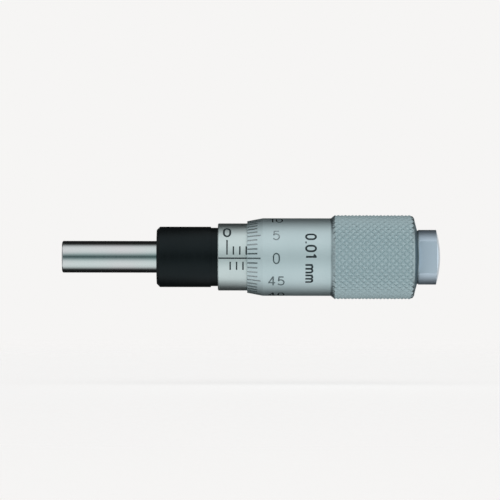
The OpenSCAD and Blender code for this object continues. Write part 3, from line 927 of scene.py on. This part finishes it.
def light_tent():
    """World: a pale background for the camera and a light tent, with its flags, for everything else."""
    world = bpy.data.worlds.new("light_tent")
    scene.world = world
    world.use_nodes = True
    tree = world.node_tree
    around = add(tree, "ShaderNodeTexCoord").outputs["Generated"]
    way = add(tree, "ShaderNodeSeparateXYZ", {0: around}).outputs
    rise = add(tree, "ShaderNodeMath", {0: way["Z"]}, operation="ABSOLUTE")
    nearer = add(tree, "ShaderNodeMath", {0: way["Y"], 1: -1.0}, operation="MULTIPLY")
    angle = add(tree, "ShaderNodeMath", {0: rise, 1: nearer}, operation="ARCTAN2")
    half_turns = add(tree, "ShaderNodeMath", {0: angle, 1: math.pi}, operation="DIVIDE")
    along = add(tree, "ShaderNodeMath", {0: way["X"]}, operation="ABSOLUTE")

    # The dark hole and the black flag, each shaded round the axis and bright along it
    shades = []
    for levels, reach, teal in ((HOLE, HOLE_REACH, HOLE_TEAL), (FLAG, FLAG_REACH, 1.0)):
        ramp = add(tree, "ShaderNodeValToRGB", {"Fac": half_turns})
        stops = ramp.color_ramp.elements
        while len(stops) < len(levels):
            stops.new(0.5)
        for stop, (degrees, level) in zip(stops, levels):
            stop.position = degrees / 180
            stop.color = (level ** teal, level, level, 1)
        beyond = add(tree, "ShaderNodeMapRange", {"Value": along, "From Min": reach[0], "From Max": reach[1]})
        shade = add(tree, "ShaderNodeMix", {0: beyond, MIX_A: ramp, MIX_B: BRIGHT_WALL}, data_type="RGBA")
        shades.append(shade.outputs[MIX_OUT])
    hole, flag = shades
    tent = add(tree, "ShaderNodeMix", {0: 1.0, MIX_A: hole, MIX_B: flag},
               data_type="RGBA", blend_type="MULTIPLY")

    # The strip of backdrop, the wall beyond the tip, and what the camera sees, one over the other
    edges = ((way["Y"], BACKDROP_Y), (rise, BACKDROP_Z), (way["X"], TIP_WALL_X))
    strip_y, strip_z, tip_wall = [
        add(tree, "ShaderNodeMapRange", {"Value": value, "From Min": start, "From Max": end})
        for value, (start, end) in edges]
    strip = add(tree, "ShaderNodeMath", {0: strip_y, 1: strip_z}, operation="MULTIPLY")
    seen = add(tree, "ShaderNodeLightPath").outputs["Is Camera Ray"]
    for share, colour in ((strip, BACKDROP), (tip_wall, TIP_WALL), (seen, linear(PALE))):
        tent = add(tree, "ShaderNodeMix", {0: share, MIX_A: tent.outputs[MIX_OUT], MIX_B: colour},
                   data_type="RGBA")
    tree.links.new(tent.outputs[MIX_OUT], tree.nodes["Background"].inputs["Color"])


def panels():
    """Light panels above and below, of an even level, which the camera doesn't see."""
    for side in (-1, 1):
        light = bpy.data.lights.new("panel", "AREA")
        light.shape = "RECTANGLE"
        light.size = PANEL_L
        light.size_y = PANEL_W
        light.energy = PANEL_LEVEL * math.pi * PANEL_L * PANEL_W
        panel = bpy.data.objects.new("panel", light)
        panel.location = (PANEL.x, PANEL.y, side * PANEL.z)
        panel.rotation_euler.x = 0 if side > 0 else math.pi
        panel.visible_camera = False
        scene.collection.objects.link(panel)


def pale_floor():
    """Floor that takes the soft shadow and fades into the background; it stays out of reflections."""
    material = bpy.data.materials.new("pale_floor")
    material.use_nodes = True
    tree = material.node_tree
    tree.nodes.remove(tree.nodes["Principled BSDF"])
    place = add(tree, "ShaderNodeTexCoord")
    offset = add(tree, "ShaderNodeVectorMath", {0: place.outputs["Object"], 1: (AIM.x, 0, FLOOR_Z)},
                 operation="DISTANCE")
    fade = add(tree, "ShaderNodeMapRange", {
        "Value": offset.outputs["Value"], "From Min": FLOOR_SOLID, "From Max": FLOOR_GONE,
    }, interpolation_type="SMOOTHSTEP")
    matt = add(tree, "ShaderNodeBsdfDiffuse", {"Color": FLOOR_MATT})
    glow = add(tree, "ShaderNodeEmission", {"Color": linear(PALE), "Strength": FLOOR_GLOW})
    pale = add(tree, "ShaderNodeAddShader", {0: matt, 1: glow})
    clear = add(tree, "ShaderNodeBsdfTransparent")
    faded = add(tree, "ShaderNodeMixShader", {0: fade, 1: pale, 2: clear})
    tree.links.new(faded.outputs["Shader"], tree.nodes["Material Output"].inputs["Surface"])
    mesh = bpy.data.meshes.new("floor")
    corners = [(AIM.x + x * FLOOR_HALF, y * FLOOR_HALF, FLOOR_Z)
               for x, y in ((-1, -1), (1, -1), (1, 1), (-1, 1))]
    mesh.from_pydata(corners, [], [(0, 1, 2, 3)])
    mesh.materials.append(material)
    floor = bpy.data.objects.new("floor", mesh)
    scene.collection.objects.link(floor)
    floor.visible_glossy = False
    floor.visible_diffuse = False
    floor.visible_shadow = False


def photo_camera():
    """Camera far off in front that looks along +Y, slightly rolled, with the photograph's framing."""
    camera = bpy.data.objects.new("camera", bpy.data.cameras.new("camera"))
    camera.data.lens = LENS
    camera.data.sensor_width = SENSOR
    camera.location = AIM - Vector((0, FIELD_W * LENS / SENSOR, 0))
    camera.rotation_euler = (math.pi / 2, ROLL, 0)
    scene.collection.objects.link(camera)
    scene.camera = camera


light_tent()
panels()
pale_floor()
photo_camera()
scene.view_settings.view_transform = "Standard"
